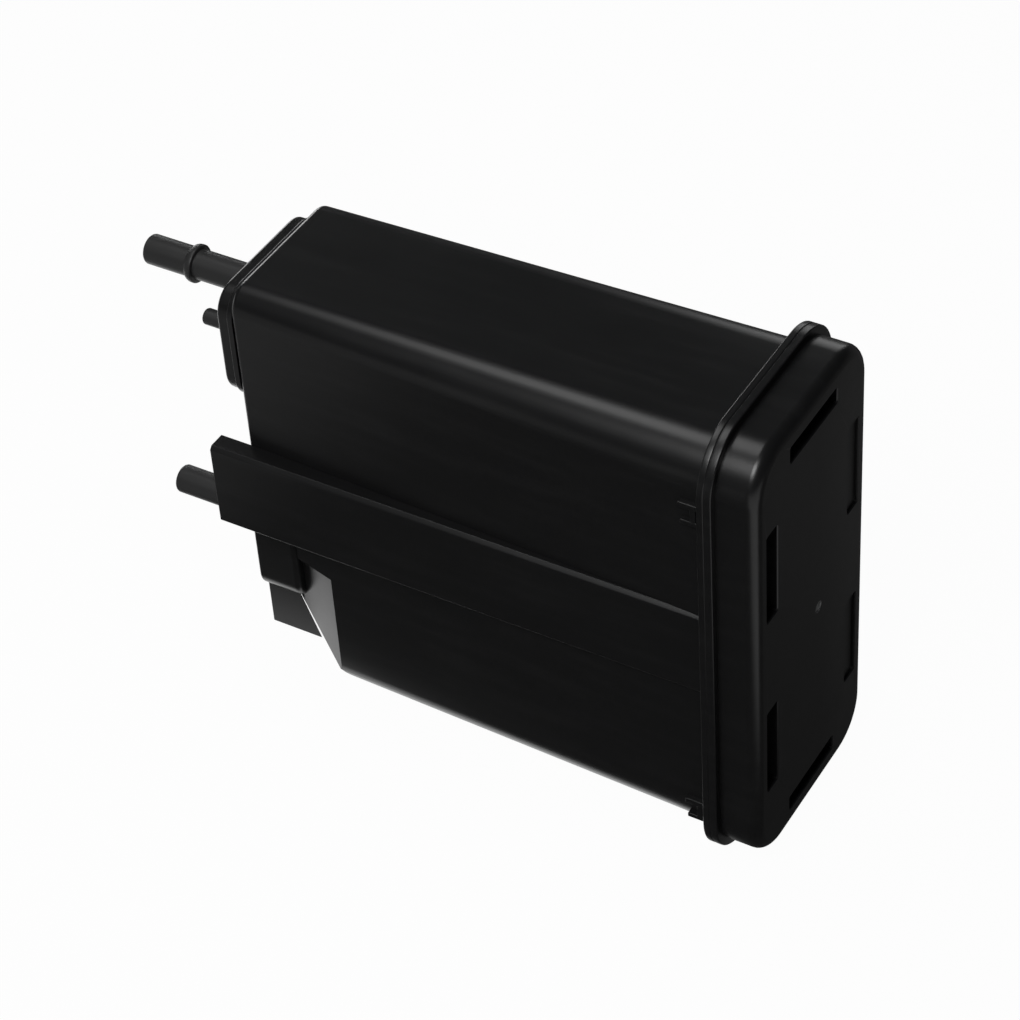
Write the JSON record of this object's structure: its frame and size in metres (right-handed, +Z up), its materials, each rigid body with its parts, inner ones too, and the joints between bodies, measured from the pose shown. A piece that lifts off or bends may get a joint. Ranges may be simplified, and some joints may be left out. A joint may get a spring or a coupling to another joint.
{
  "type": "charcoal canister",
  "caption": "Black welded plastic box for a vehicle's fuel vapour system: pocketed end cap, port cover with quick-connect tubes, side duct and carbon beds inside.",
  "frame": {"origin": "middle of the part's footprint, at the height of the lower edge of the weld flange", "axes": "+X along the box from the ports towards the end cap, +Y from the side with the duct towards the plain side, +Z up"},
  "size_m": [0.294, 0.099, 0.213],
  "materials": {
    "black_plastic": "satin black moulded plastic",
    "natural_plastic": "natural white moulded plastic",
    "felt": "grey needled felt",
    "carbon": "packed bed of black carbon pellets",
    "spring_steel": "drawn spring wire"
  },
  "bodies": {
    "root": {"canister_body": "black_plastic", "end_cap": "black_plastic", "port_cover": "black_plastic", "main_port_screen": "natural_plastic", "main_port_filter": "felt", "main_carbon_bed": "carbon", "main_cap_filter": "felt", "main_pressure_plate": "natural_plastic", "main_spring_upper": "spring_steel", "main_spring_lower": "spring_steel", "vent_port_screen": "natural_plastic", "vent_port_filter": "felt", "vent_carbon_bed": "carbon", "vent_cap_filter": "felt", "vent_pressure_plate": "natural_plastic", "vent_spring_upper": "spring_steel", "vent_spring_lower": "spring_steel"}
  },
  "joints": []
}
